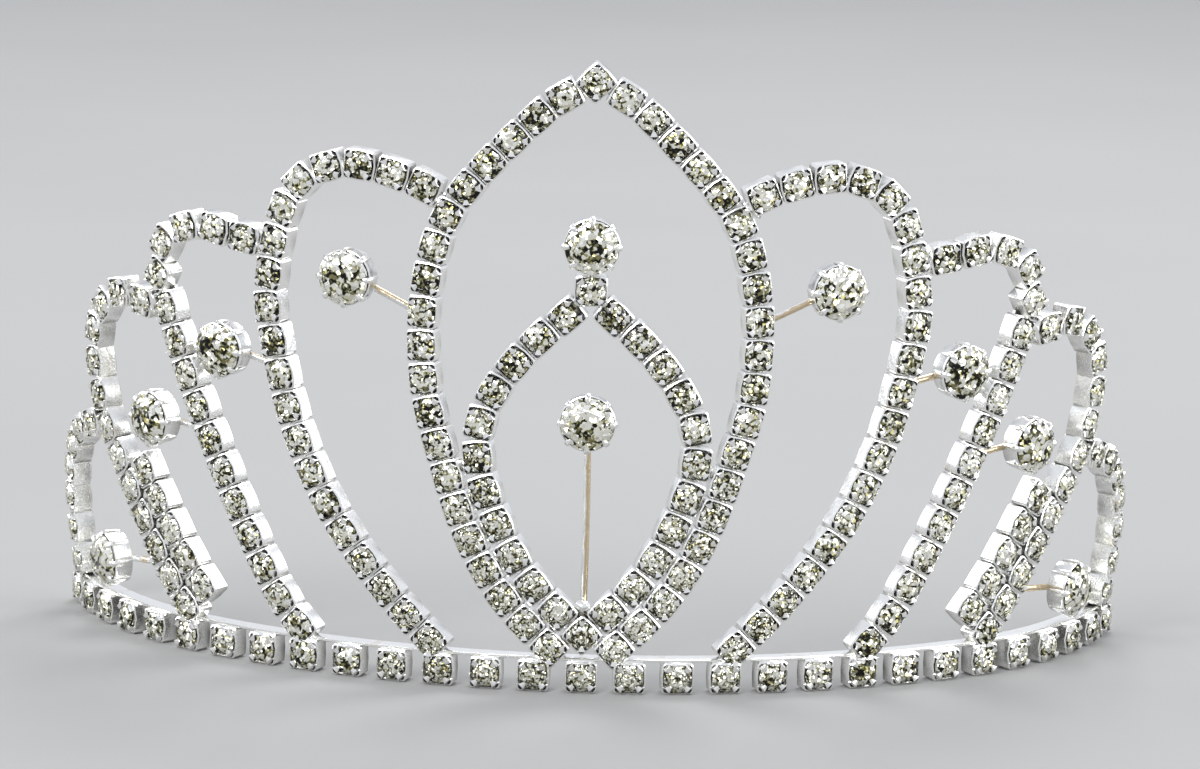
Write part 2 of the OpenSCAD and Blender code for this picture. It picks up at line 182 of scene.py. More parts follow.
class CameraPlace(bpy.types.PropertyGroup):
    aim: FloatVectorProperty(
        name="Aim",
        description="Point of the crown that the middle of the picture shows",
        default=(0.251 * MM, 31.388 * MM, 30.3 * MM),
        subtype="TRANSLATION",
    )
    distance: length("Distance", "Distance from the camera to that point", 687.14)
    down: angle("Tilt", "How far the camera looks down", 10.68)
    turn: angle("Turn", "How far the camera has turned to the right of straight ahead", -1.297)
    roll: angle("Roll", "How far the camera leans", 1.52)
    lens: FloatProperty(
        name="Lens", description="Focal length for a 36 mm sensor", default=150, unit="CAMERA"
    )


GROUPS = {
    "crown_cups": CupSizes,
    "crown_stones": StoneSizes,
    "crown_settings": SettingSizes,
    "crown_metal": MetalLook,
    "crown_crystal": CrystalLook,
    "crown_stage": StageLook,
    "crown_camera": CameraPlace,
}


# Reading the stones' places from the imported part


def unit(v):
    """Vectors of length one: each is divided by the root of the sum of its squares."""
    return v / np.linalg.norm(v, axis=-1, keepdims=True)


def single_stones(node):
    """Corner points of each stone of a node. Corners at one place are one point, and the points of a
    triangle take the lowest label among them until no label changes, so a label is a stone."""
    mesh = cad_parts[node].data
    mesh.calc_loop_triangles()
    points = np.empty(3 * len(mesh.vertices))
    mesh.vertices.foreach_get("co", points)
    triangles = np.empty(3 * len(mesh.loop_triangles), dtype=np.int32)
    mesh.loop_triangles.foreach_get("vertices", triangles)
    points, same = np.unique(np.round(points.reshape(-1, 3), 6), axis=0, return_inverse=True)
    triangles = same.reshape(-1)[triangles].reshape(-1, 3)
    labels = np.arange(len(points))
    settled = False
    while not settled:
        spread = labels.copy()
        np.minimum.at(spread, triangles, labels[triangles].min(axis=1, keepdims=True))
        settled = np.array_equal(spread, labels)
        labels = spread
    return points[np.argsort(labels, kind="stable")].reshape(-1, STONE_POINTS, 3)


def seats_of(node, girdle):
    """The seat of each stone as four vectors: along its row, across it, outward, and the middle of
    its cup. The eight points farthest from the stone's mean are its girdle, and outward runs from
    their mean to the mean of the others. A flat of the girdle lies half a facet from a corner, and
    of the four ways that flats face, along is the one nearest to the next stone. The inner ogive's
    highest cup stands upright under its large stone, and the foot cup stands on its corner."""
    stones = single_stones(node)
    mean = stones.mean(axis=1, keepdims=True)
    rank = np.argsort(np.linalg.norm(stones - mean, axis=2), axis=1)
    ranked = np.take_along_axis(stones, rank[..., None], axis=1)
    edge, inner = ranked[:, -FACETS:], ranked[:, :-FACETS]
    middle = edge.mean(axis=1)
    out = unit(inner.mean(axis=1) - middle)
    corner = unit(edge[:, 0] - middle)
    turn = (np.arange(FACETS // 2) + 0.5) * 2 * np.pi / FACETS
    side = np.cross(out, corner)
    ways = corner[:, None] * np.cos(turn)[:, None] + side[:, None] * np.sin(turn)[:, None]
    if len(middle) > 1:
        gap = middle[None] - middle[:, None]
        apart = np.linalg.norm(gap, axis=2) + np.eye(len(middle))
        nearest = apart.argmin(axis=1)
        toward = unit(gap[np.arange(len(middle)), nearest])
        if node == INNER:
            toward[middle[:, 2].argmax()] = (1, 0, 0)
    else:
        toward = np.array([[1, 0, node == FOOT]])
    best = np.abs(np.einsum("swi,si->sw", ways, toward)).argmax(axis=1)
    along = ways[np.arange(len(ways)), best]
    return np.stack([along, np.cross(out, along), out, middle - girdle * out], axis=1)


def turned(seats, angles):
    """Each seat turned about its outward axis by each angle a: along becomes along cos a + across
    sin a."""
    c, s = np.cos(angles)[None, :, None], np.sin(angles)[None, :, None]
    along = seats[:, None, 0] * c + seats[:, None, 1] * s
    across = seats[:, None, 1] * c - seats[:, None, 0] * s
    rest = np.broadcast_to(seats[:, None, 2:], along.shape[:2] + (2, 3))
    return np.concatenate([along[:, :, None], across[:, :, None], rest], axis=2).reshape(-1, 4, 3)


def neighbours(seats, reach):
    """Pairs of seats whose middles are less than reach apart, each pair once."""
    gap = np.linalg.norm(seats[:, None, 3] - seats[None, :, 3], axis=2)
    first, second = np.nonzero(np.triu(gap < reach, k=1))
    return first, second


# Shapes: points, faces and the values that the materials read at each point


class Shape:
    """Points in metres, lists of faces with one side count each, and named values at the points."""

    def __init__(self, points, faces, **marks):
        self.points = points
        self.faces = faces
        self.marks = marks


def joined(shapes):
    """One shape from several: the face numbers of each start where the points before it end."""
    starts = np.cumsum([0] + [len(s.points) for s in shapes[:-1]])
    faces = [f + start for s, start in zip(shapes, starts) for f in s.faces]
    marks = {k: np.concatenate([s.marks[k] for s in shapes]) for k in shapes[0].marks}
    return Shape(np.concatenate([s.points for s in shapes]), faces, **marks)


def skin(sections):
    """Closed skin through rings of points: neighbours on two rings make a quad, and the first and the
    last ring are each one face. Rings run anticlockwise about the way from the first to the last."""
    rings, sides = sections.shape[:2]
    grid = np.arange(rings * sides).reshape(rings, sides)
    low, high = grid[:-1], grid[1:]
    quads = np.stack([low, np.roll(low, -1, 1), np.roll(high, -1, 1), high], axis=-1)
    return Shape(sections.reshape(-1, 3), [quads.reshape(-1, 4), grid[:1, ::-1], grid[-1:]])


def power_ring(sides, square, shift=0.0):
    """Cosine and sine round a ring, each raised to a power below one to square the ring off."""
    a = (np.arange(sides) + shift) * 2 * np.pi / sides
    c, s = np.cos(a), np.sin(a)
    return np.sign(c) * np.abs(c) ** square, np.sign(s) * np.abs(s) ** square


def swept(path, flat, half_flat, half_deep, sides=8, square=0.8):
    """Skin round a path: each ring lies square to the path's own direction, half_flat wide along the
    flat vector and half_deep wide across it."""
    ahead = unit(np.gradient(path, axis=0))
    flat = np.broadcast_to(flat, path.shape)
    flat = unit(flat - ahead * (flat * ahead).sum(axis=1, keepdims=True))
    deep = np.cross(ahead, flat)
    c, s = power_ring(sides, square, 0.5)
    wide = np.broadcast_to(half_flat, len(path))[:, None, None] * c[None, :, None]
    thick = np.broadcast_to(half_deep, len(path))[:, None, None] * s[None, :, None]
    return skin(path[:, None] + flat[:, None] * wide + deep[:, None] * thick)


def on_seats(shape, seats, batch):
    """Copies of a shape on seats: each point is middle + x along + y across + z outward. place keeps
    a point's own spot in millimetres, moved far off by the seat's batch so that no two copies match."""
    count = len(seats)
    points = np.einsum("pi,sij->spj", shape.points, seats[:, :3]) + seats[:, None, 3]
    step = np.arange(count)[:, None] * len(shape.points)
    faces = [(f[None] + step[..., None]).reshape(-1, f.shape[1]) for f in shape.faces]
    marks = {k: np.tile(v, count) for k, v in shape.marks.items()}
    spread = np.array([37.0, 91.0, 53.0])
    place = shape.points[None] / MM + batch[:, None, None] * spread
    marks["batch"] = np.repeat(batch, len(shape.points))
    return Shape(points.reshape(-1, 3), faces, place=place.reshape(-1, 3), **marks)


def sunk(shape, top, bottom):
    """Adds depth to a shape: 0 at the height top and above, 1 at the height bottom and below. The metal
    darkens with depth, partly tarnished silver and partly painted shade.
    """
    shape.marks["depth"] = np.clip((top - shape.points[:, 2]) / (top - bottom), 0, 1)
    return shape


def drawn(shape, batch, depth=0.3):
    """Values for a shape that isn't a copy: its place is its own spot, in millimetres."""
    shape.marks = {
        "place": shape.points / MM,
        "batch": np.full(len(shape.points), batch),
        "depth": np.full(len(shape.points), depth),
    }
    return shape


def make_piece(name, shape, material, slot, *stands_for, sharp=40):
    """A mesh object at the origin, smooth but for edges that turn more than sharp degrees. It rides
    on the crown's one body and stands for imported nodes."""
    mesh = bpy.data.meshes.new(name)
    mesh.from_pydata(shape.points.tolist(), [], [f for faces in shape.faces for f in faces.tolist()])
    mesh.polygons.foreach_set("use_smooth", np.ones(len(mesh.polygons), dtype=bool))
    mesh.set_sharp_from_angle(angle=float(np.radians(sharp)))
    for label, values in shape.marks.items():
        vector = values.ndim == 2
        mark = mesh.attributes.new(label, "FLOAT_VECTOR" if vector else "FLOAT", "POINT")
        mark.data.foreach_set("vector" if vector else "value", values.astype(np.float32).ravel())
    mesh.materials.append(material)
    mesh.update()
    piece = bpy.data.objects.new(name, mesh)
    bpy.context.scene.collection.objects.link(piece)
    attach(piece, "root")
    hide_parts(*stands_for)
    return piece


# Finishes


def add(tree, kind, inputs=None, stops=None, **settings):
    """Adds a node with its settings. An input is linked where it is given a socket and set where it
    is given a value, and stops are the places and colours of a colour ramp."""
    made = tree.nodes.new("ShaderNode" + kind)
    for name, value in settings.items():
        setattr(made, name, value)
    for name, value in (inputs or {}).items():
        if isinstance(value, bpy.types.NodeSocket):
            tree.links.new(value, made.inputs[name])
        else:
            made.inputs[name].default_value = value
    if stops:
        ramp = made.color_ramp.elements
        while len(ramp) < len(stops):
            ramp.new(0.5)
        for element, (spot, tint) in zip(ramp, stops):
            element.position = spot
            element.color = (*tint, 1)
    return made


def blank(name):
    material = bpy.data.materials.new(name)
    material.use_nodes = True
    material.node_tree.nodes.clear()
    return material, material.node_tree


def per(size_mm):
    """Scale of a pattern on Object coordinates, in metres, whose features are size_mm across."""
    return 1 / (size_mm * MM)


# Sockets of a colour Mix node
MIX_SHARE, MIX_FROM, MIX_TO, MIX_RESULT = 0, 6, 7, 2


def plated_metal(name, look, brass_share):
    """Silver plate over brass, stamped, soldered and dipped: white and bright where it is rubbed,
    grey-brown in the recesses and between the cups, where it is partly tarnished and partly painted
    with shade, and warm where the plate is thin."""
    material, tree = blank(name)
    place = add(tree, "TexCoord").outputs["Object"]
    depth = add(tree, "Attribute", attribute_name="depth").outputs["Fac"]
    batch = add(tree, "Attribute", attribute_name="batch").outputs["Fac"]
    # Tarnished patches lie in clouds about 4 mm across, and depth darkens the metal low down between
    # the cups and in the recesses: there it is partly tarnished silver and partly painted shade
    clouds = add(tree, "TexNoise", {"Vector": place, "Scale": per(4), "Detail": 3.0}).outputs["Fac"]
    gather = add(tree, "Math", {0: clouds, 1: 1.1, 2: 0.35}, operation="MULTIPLY_ADD").outputs[0]
    low = add(tree, "Math", {0: depth, 1: gather, 2: -0.08}, operation="MULTIPLY_ADD", use_clamp=True)
    tarnish_and_shade_share = add(
        tree, "Math", {0: batch, 1: 0.06, 2: low.outputs[0]}, operation="MULTIPLY_ADD", use_clamp=True
    )
    # The plate wears off in patches about 2.5 mm across, and along the side that is rubbed
    worn = add(tree, "Attribute", attribute_name="worn").outputs["Fac"]
    patches = add(tree, "TexNoise", {"Vector": place, "Scale": per(2.5), "Detail": 2.0}).outputs["Fac"]
    bare = add(tree, "Math", {0: worn, 1: 0.6, 2: patches}, operation="MULTIPLY_ADD").outputs[0]
    warm = add(
        tree,
        "ValToRGB",
        {"Fac": bare},
        stops=[(0.6, (0, 0, 0)), (0.74, (brass_share,) * 3)],
    ).outputs["Color"]
    bright = add(
        tree,
        "Mix",
        {MIX_SHARE: warm, MIX_FROM: (*look.silver, 1), MIX_TO: (*look.brass, 1)},
        data_type="RGBA",
    ).outputs[MIX_RESULT]
    # The dark colour takes over with depth: tarnished silver, and painted shade in the recesses and
    # between the cups
    tint = add(
        tree,
        "Mix",
        {MIX_SHARE: tarnish_and_shade_share.outputs[0], MIX_FROM: bright, MIX_TO: (*look.tarnish, 1)},
        data_type="RGBA",
    ).outputs[MIX_RESULT]
    # Polishing marks are finer than the render shows, so they are drawn 0.18 mm apart
    marks = add(tree, "TexNoise", {"Vector": place, "Scale": per(0.18), "Detail": 4.0}).outputs["Fac"]
    rough = add(
        tree,
        "MapRange",
        {
            "Value": marks,
            "From Min": 0.3,
            "From Max": 0.7,
            "To Min": look.polish * 0.7,
            "To Max": look.polish * 1.5,
        },
    ).outputs[0]
    dents = add(tree, "TexNoise", {"Vector": place, "Scale": per(0.7), "Detail": 2.0}).outputs["Fac"]
    relief = add(tree, "Math", {0: marks, 1: 0.05, 2: dents}, operation="MULTIPLY_ADD").outputs[0]
    bump = add(tree, "Bump", {"Height": relief, "Strength": 0.3, "Distance": 0.1 * MM}).outputs[0]
    shader = add(
        tree,
        "BsdfPrincipled",
        {"Base Color": tint, "Metallic": 1.0, "Roughness": rough, "Normal": bump},
    )
    add(tree, "OutputMaterial", {"Surface": shader.outputs[0]})
    return material


def foiled_crystal(name, look, facet, ring):
    """Cut crystal with a mirror foil behind it: the pavilion breaks the foil's reflection into
    splinters, dark, olive, grey and white, under a clear and very smooth surface. ring says how
    plainly the pavilion's point shows as a dark ring in the table, and the rim as a bright one."""
    material, tree = blank(name)
    place = add(tree, "Attribute", attribute_name="place").outputs["Vector"]
    batch = add(tree, "Attribute", attribute_name="batch").outputs["Fac"]
    # The splinters are as wide as the reflections of the pavilion's facets, and each is broken again
    # by the crown's facets into pieces half as wide
    cells = add(tree, "TexVoronoi", {"Vector": place, "Scale": MM / facet, "Randomness": 1.0})
    fine = add(tree, "TexVoronoi", {"Vector": place, "Scale": 2 * MM / facet, "Randomness": 1.0})
    tone = add(tree, "SeparateColor", {"Color": cells.outputs["Color"]}).outputs[0]
    sliver = add(tree, "SeparateColor", {"Color": fine.outputs["Color"]}).outputs[1]
    # Some stretches of a row look into a bright part of the room, and others don't
    room = add(tree, "TexCoord").outputs["Object"]
    room = add(tree, "TexNoise", {"Vector": room, "Scale": per(9), "Detail": 1.0}).outputs["Fac"]
    own = add(tree, "Attribute", attribute_name="own").outputs["Vector"]
    reach = add(tree, "VectorMath", {0: own}, operation="LENGTH").outputs["Value"]
    rings = add(
        tree,
        "ValToRGB",
        {"Fac": reach},
        stops=[
            (0.0, (0.6,) * 3),
            (0.12, (0.62,) * 3),
            (0.24, (0.0,) * 3),
            (0.38, (0.42,) * 3),
            (0.76, (0.5,) * 3),
            (0.94, (0.7,) * 3),
        ],
    ).outputs["Color"]
    # A splinter is bright in its middle and darkens towards its edge, and the rest is added to that
    edge = cells.outputs["Distance"]
    parts = ((edge, -0.6), (tone, 0.62), (sliver, 0.62), (batch, 0.16), (room, 0.3), (rings, ring))
    value = 0.16
    for part, weight in parts:
        value = add(tree, "Math", {0: part, 1: weight, 2: value}, operation="MULTIPLY_ADD").outputs[0]
    value = add(tree, "Math", {0: value, 1: 0.5 * ring}, operation="SUBTRACT").outputs[0]
    tint = add(
        tree,
        "ValToRGB",
        {"Fac": value},
        stops=[
            (0.0, look.night),
            (0.52, look.night),
            (0.63, look.olive),
            (0.69, look.smoke),
            (0.725, look.spark),
        ],
    ).outputs["Color"]
    # One fine splinter in four takes a tinge of the brass inside the cup
    tinge = add(tree, "SeparateColor", {"Color": fine.outputs["Color"]}).outputs[2]
    tinge = add(
        tree, "MapRange", {"Value": tinge, "From Min": 0.72, "From Max": 0.8, "To Max": 0.5}
    ).outputs[0]
    tint = add(
        tree,
        "Mix",
        {MIX_SHARE: tinge, MIX_FROM: tint, MIX_TO: (*look.gold, 1)},
        data_type="RGBA",
    ).outputs[MIX_RESULT]
    # Each splinter is tilted by its own random vector
    tilt = add(
        tree, "VectorMath", {0: fine.outputs["Color"], 1: (0.5, 0.5, 0.5)}, operation="SUBTRACT"
    ).outputs[0]
    tilt = add(tree, "VectorMath", {0: tilt, "Scale": 0.9}, operation="SCALE").outputs[0]
    face = add(tree, "NewGeometry").outputs["Normal"]
    leaning = add(tree, "VectorMath", {0: face, 1: tilt}, operation="ADD").outputs[0]
    normal = add(tree, "VectorMath", {0: leaning}, operation="NORMALIZE").outputs[0]
    shader = add(
        tree,
        "BsdfPrincipled",
        {
            "Base Color": tint,
            "Metallic": 1.0,
            "Roughness": 0.12,
            "Normal": normal,
            "Coat Weight": 0.4,
            "Coat Roughness": 0.03,
            "Coat IOR": 1.56,
        },
    )
    add(tree, "OutputMaterial", {"Surface": shader.outputs[0]})
    return material


def matt_paper(name, tint):
    """Matt background paper: a pale sheet with a faint, soft mottle."""
    material, tree = blank(name)
    place = add(tree, "TexCoord").outputs["Object"]
    mottle = add(tree, "TexNoise", {"Vector": place, "Scale": per(90), "Detail": 2.0}).outputs["Fac"]
    tone = add(
        tree,
        "ValToRGB",
        {"Fac": mottle},
        stops=[(0.3, tuple(0.97 * c for c in tint)), (0.7, tuple(tint))],
    ).outputs["Color"]
    shader = add(tree, "BsdfPrincipled", {"Base Color": tone, "Roughness": 0.85})
    add(tree, "OutputMaterial", {"Surface": shader.outputs[0]})
    return material


def finish(name, make, *details):
    """The material of that name, made the first time that a piece asks for it."""
    return bpy.data.materials.get(name) or make(name, *details)


def silver(scene):
    return finish("tarnished_silver", plated_metal, scene.crown_metal, 0.25)


# Stones


def brilliant(width, girdle, crown, pavilion, table_share):
    """A brilliant: an octagonal table, eight star facets, eight kites and sixteen girdle facets above
    a thin girdle, and sixteen facets down to a point. Rings of points have a radius and a height
    each, and the middle ring of the crown is turned by half a facet. own is a point's place across
    the stone, in radii, drawn out across the row, so that lengths of own are flat ovals."""
    r = width / 2
    star = 0.5 * (1 + table_share) + 0.03
    edge = 0.07 * crown
    eighth = np.arange(FACETS) * 2 * np.pi / FACETS
    sixteenth = np.arange(2 * FACETS) * np.pi / FACETS
    rings = [
        (eighth, table_share * r, girdle + crown),
        (eighth + np.pi / FACETS, star * r, girdle + 0.52 * crown),
        (sixteenth, r, girdle + edge),
        (sixteenth, r, girdle - edge),
    ]
    points = [
        np.stack([radius * np.cos(a), radius * np.sin(a), np.full(len(a), height)], axis=1)
        for a, radius, height in rings
    ]
    points.append(np.array([[0, 0, girdle - pavilion]]))
    i, j = np.arange(FACETS), np.arange(2 * FACETS)
    n, m = FACETS, 2 * FACETS
    table, middle, upper, lower, point = 0, n, 2 * n, 2 * n + m, 2 * n + 2 * m
    after, before, follow = (i + 1) % n, (i - 1) % n, (j + 1) % m
    faces = [
        table + i[None],
        np.stack([table + i, middle + i, table + after], axis=1),
        np.stack([table + i, middle + before, upper + 2 * i, middle + i], axis=1),
        np.stack([middle + i, upper + 2 * i, upper + 2 * i + 1], axis=1),
        np.stack([middle + i, upper + 2 * i + 1, upper + (2 * i + 2) % m], axis=1),
        np.stack([lower + j, lower + follow, upper + follow, upper + j], axis=1),
        np.stack([lower + j, np.full(m, point), lower + follow], axis=1),
    ]
    points = np.concatenate(points)
    return Shape(points, faces, own=points * np.array([1, 1.5, 0]) / r)


def batches(seats, salt):
    """A number from 0 to 1 for each seat, from a fixed seed, so that every run gives the same crown."""
    return np.random.default_rng(salt).random(len(seats))


class CutSmallStones(bpy.types.Operator):
    """Cut the round stones of the rows, the band and the foot"""

    bl_idname = "crown.cut_small_stones"
    bl_label = "Cut small stones"

    def execute(self, context):
        sizes, crystal = context.scene.crown_stones, context.scene.crown_crystal
        look = finish("foiled_crystal", foiled_crystal, crystal, crystal.facet, 0.3)
        stone = brilliant(
            sizes.small, sizes.small_girdle, sizes.small_crown, sizes.small_depth, sizes.table
        )
        for salt, row in enumerate(ROWS):
            seats = seats_of(row, sizes.small_girdle)
            crystals = on_seats(stone, seats, batches(seats, salt))
            # At the foot of the ogives and at the crown's sides the stones break the light into finer
            # pieces, and at the sides more of their facets catch the side lights
            high, aside = seats[:, 3, 2] / MM, np.abs(seats[:, 3, 0]) / MM
            foot = np.clip((34 - high) / 18, 0, 1) * np.clip((30 - aside) / 8, 0, 1)
            side = np.clip((aside - 38) / 16, 0, 1)
            points = len(stone.points)
            crystals.marks["place"] *= np.repeat(1 + 0.7 * foot + 0.3 * side, points)[:, None]
            crystals.marks["batch"] += np.repeat(0.5 * side, points)
            make_piece(row + "_cut", crystals, look, "small_crystal", row, sharp=3)
        return {"FINISHED"}


class CutLargeStones(bpy.types.Operator):
    """Cut the ten large stones"""

    bl_idname = "crown.cut_large_stones"
    bl_label = "Cut large stones"

    def execute(self, context):
        sizes, crystal = context.scene.crown_stones, context.scene.crown_crystal
        look = finish("foiled_large_crystal", foiled_crystal, crystal, crystal.large_facet, 0.5)
        stone = brilliant(
            sizes.large, sizes.large_girdle, sizes.large_crown, sizes.large_depth, sizes.table
        )
        for salt, name in enumerate(LARGE_STONES):
            seats = seats_of(name, sizes.large_girdle)
            cut = on_seats(stone, seats, batches(seats, LARGE_SEED + salt))
            # A large stone catches a little more light than a small one
            cut.marks["batch"] += 0.2
            make_piece(name + "_cut", cut, look, "large_crystal", name, sharp=3)
        return {"FINISHED"}


# Metal


def cup_shape(sizes, run, wide):
    """A stamped cup as rings that run up its outer wall, over the rim and down inside. A ring is a
    squared-off ellipse, drawn in from the wall by an inset, and the rim dips by the square of the
    cosine of twice the angle, so that it is highest at the corners. The back is pressed in. Depth grows
    to 1 over the outer eighth of the half length and towards the back, and the pressed part of the back
    has a share of it. The metal darkens with depth, so this puts painted shade, along with tarnished
    silver, low down in the gaps between cups."""
    c, s = power_ring(12, 0.28)
    corner = 2 * np.arctan2(s, c)
    dip = sizes.dip * np.cos(corner) ** 2
    rows = [
        (1.05 * MM, 0.24 * MM - sizes.back, 0),
        (0.55 * MM, -sizes.back, 0),
        (0, 0.34 * MM - sizes.back, 0),
        (0, sizes.rim - 0.13 * MM, 0.9),
        (1.1 * sizes.wall, sizes.rim, 1),
        (1.6 * sizes.wall, -0.03 * MM, 0),
    ]
    rings = [
        np.stack([(run / 2 - inset) * c, (wide / 2 - inset) * s, height - part * dip], axis=1)
        for inset, height, part in rows
    ]
    cup = sunk(skin(np.array(rings)), sizes.rim, -sizes.back)
    # Painted shade, with tarnished silver, at the low ends of a cup, in the gaps between the cups
    end = np.clip((np.abs(cup.points[:, 0]) / (run / 2) - 0.87) * 8, 0, 1)
    low = np.clip((0.4 * MM - cup.points[:, 2]) / (0.5 * MM), 0, 1)
    pressed = np.where(np.abs(cup.points[:, 0]) < run / 2 - 0.9 * MM, 0.5, 0.12)
    cup.marks["depth"] = np.maximum(pressed * cup.marks["depth"], end * low)
    return cup


def claw_shape(corner, rise, bend, tip, wide, thick):
    """A claw in the plane of x and height: up from the corner to rise, over the girdle at bend and
    down to its tip. It is a tab that narrows from its foot to a rounded tip."""
    spots = ((corner, 0.2 * rise), (corner, rise), bend, tip)
    path = np.array([[x, 0, height] for x, height in spots])
    broad = np.array([0.5, 0.46, 0.34, 0.16]) * wide
    deep = np.array([0.5, 0.5, 0.5, 0.3]) * thick
    return swept(path, np.array([0.0, 1.0, 0.0]), broad, deep, sides=6, square=0.7)


def snug(seats, run, gap):
    """Seats whose along is drawn out, so that a cup as long as run ends gap short of the next one:
    along becomes along (pitch - gap) / run, where pitch is the distance to the nearest seat."""
    apart = np.linalg.norm(seats[:, None, 3] - seats[None, :, 3], axis=2) + np.eye(len(seats))
    drawn_out = seats.copy()
    drawn_out[:, 0] *= ((apart.min(axis=1) - gap) / run)[:, None]
    return drawn_out


def straps(seats, first, second, sizes, reach):
    """Straps from cup to cup: four rings from one middle to the other, level with the cups' floors,
    waisted at the gap between them."""
    shapes = []
    for a, b in zip(seats[first], seats[second]):
        out = unit(a[2] + b[2])
        start = a[3] - sizes.link_depth * a[2]
        end = b[3] - sizes.link_depth * b[2]
        t = (np.array([0.0, 0.42, 0.58, 1.0]) - 0.5) * reach + 0.5
        path = start + (end - start) * t[:, None]
        waist = np.array([1, 0.8, 0.8, 1]) * sizes.link_wide / 2
        side = np.cross(out, end - start)
        # A strap lies behind the cups and takes a depth of 0.6, which darkens it: painted shade, with
        # tarnished silver
        shapes.append(drawn(swept(path, side, waist, sizes.link_thick / 2, 6, 0.5), 0.5, 0.6))
    return shapes


class StampCups(bpy.types.Operator):
    """Stamp the claw cups of every row and join them with straps"""

    bl_idname = "crown.stamp_cups"
    bl_label = "Stamp cups"

    def execute(self, context):
        sizes = context.scene.crown_cups
        stones = context.scene.crown_stones
        metal = silver(context.scene)
        corners = (np.arange(4) + 0.5) * np.pi / 2
        for salt, row in enumerate(ROWS):
            seats = seats_of(row, stones.small_girdle)
            run = sizes.band_run if row == BAND else sizes.run
            wide = sizes.band_wide if row == BAND else sizes.wide
            batch = batches(seats, CUP_SEED + salt)
            cup = cup_shape(sizes, run, wide)
            foot = 0.5 * np.hypot(run, wide) - 0.84 * MM
            claw = claw_shape(
                foot,
                1.25 * MM,
                (stones.small / 2 + 0.12 * MM, 1.62 * MM),
                (stones.small / 2 - 0.42 * MM, 1.58 * MM),
                sizes.claw_wide,
                sizes.claw_thick,
            )
            # A claw darkens towards its foot in the cup: painted shade, with tarnished silver
            claw = sunk(claw, 0.3 * MM, -sizes.back)
            close = seats if row in (BAND, FOOT) else snug(seats, run, sizes.gap)
            shapes = [
                on_seats(cup, close, batch),
                on_seats(claw, turned(seats, corners), np.repeat(batch, len(corners))),
            ]
            if row not in (BAND, FOOT):
                first, second = neighbours(seats, NEXT_CUP * sizes.run)
                shapes += straps(seats, first, second, sizes, 0.62)
            title = row.replace("_stones", "") + "_cups"
            make_piece(title, joined(shapes), metal, "silver_plate", "frame")
        return {"FINISHED"}


def curve_through(points, steps):
    """Smooth curve through points: between two of them it is the cubic whose slope at a point is half
    the step from the point before to the point after."""
    p = np.concatenate([[2 * points[0] - points[1]], points, [2 * points[-1] - points[-2]]])
    t = (np.arange(steps) / steps)[None, :, None]
    a, b, c, d = (p[i : len(p) - 3 + i, None] for i in range(4))
    curve = b + 0.5 * t * (c - a + t * (2 * a - 5 * b + 4 * c - d + t * (3 * (b - c) + d - a)))
    return np.concatenate([curve.reshape(-1, 3), points[-1:]])


class LayStrip(bpy.types.Operator):
    """Lay the strip on the band cups that joins them"""

    bl_idname = "crown.lay_strip"
    bl_label = "Lay strip"

    def execute(self, context):
        sizes = context.scene.crown_cups
        seats = seats_of(BAND, context.scene.crown_stones.small_girdle)
        round_head = np.arctan2(seats[:, 2, 0], -seats[:, 2, 1])
        seats = seats[np.argsort(round_head)]
        line = seats[:, 3] - (sizes.strip_behind - sizes.strip_wide / 2) * seats[:, 2]
        line[:, 2] = sizes.band_wide + sizes.strip_up - sizes.strip_thick / 2
        reach = sizes.band_run / 2 - 0.05 * MM
        ends = [
            line[0] - reach * unit(line[1] - line[0]),
            line[-1] + reach * unit(line[-1] - line[-2]),
        ]
        path = curve_through(np.concatenate([ends[:1], line, ends[1:]]), STRIP_STEPS)
        # The strip was pressed down between the cups: its edge waves by 0.08 mm
        wave = 0.08 * MM * np.sin(np.arange(len(path)) * 2 * np.pi / STRIP_STEPS) ** 2
        up = np.array([0.0, 0.0, 1.0])
        strip = swept(path, up, sizes.strip_thick / 2, sizes.strip_wide / 2 - wave, 16, 0.4)
        strip = drawn(strip, 0.2, 0.0)
        make_piece("band_strip", strip, silver(context.scene), "silver_plate", "frame")
        return {"FINISHED"}


def ring_setting(sizes, back):
    """The setting's ring: circles of a radius and a height each, out over the pressed back, up the
    outer wall, over a rolled rim and down inside to the floor."""
    a = np.arange(48) * 2 * np.pi / 48
    ring, wall, front = sizes.ring, sizes.wall, sizes.front
    rows = [
        (0.35 * ring, 0.22 * MM - back),
        (0.6 * ring, 0.3 * MM - back),
        (0.72 * ring, 0.1 * MM - back),
        (ring - 0.45 * MM, 0.1 * MM - back),
        (ring - 0.12 * MM, 0.25 * MM - back),
        (ring - 0.1 * MM, front - 0.55 * MM),
        (ring, front - 0.4 * MM),
        (ring, front - 0.08 * MM),
        (ring - 0.5 * wall, front),
        (ring - wall, front - 0.08 * MM),
        (ring - wall, -0.35 * MM),
    ]
    rings = [np.stack([r * np.cos(a), r * np.sin(a), np.full(len(a), h)], axis=1) for r, h in rows]
    return skin(np.array(rings))


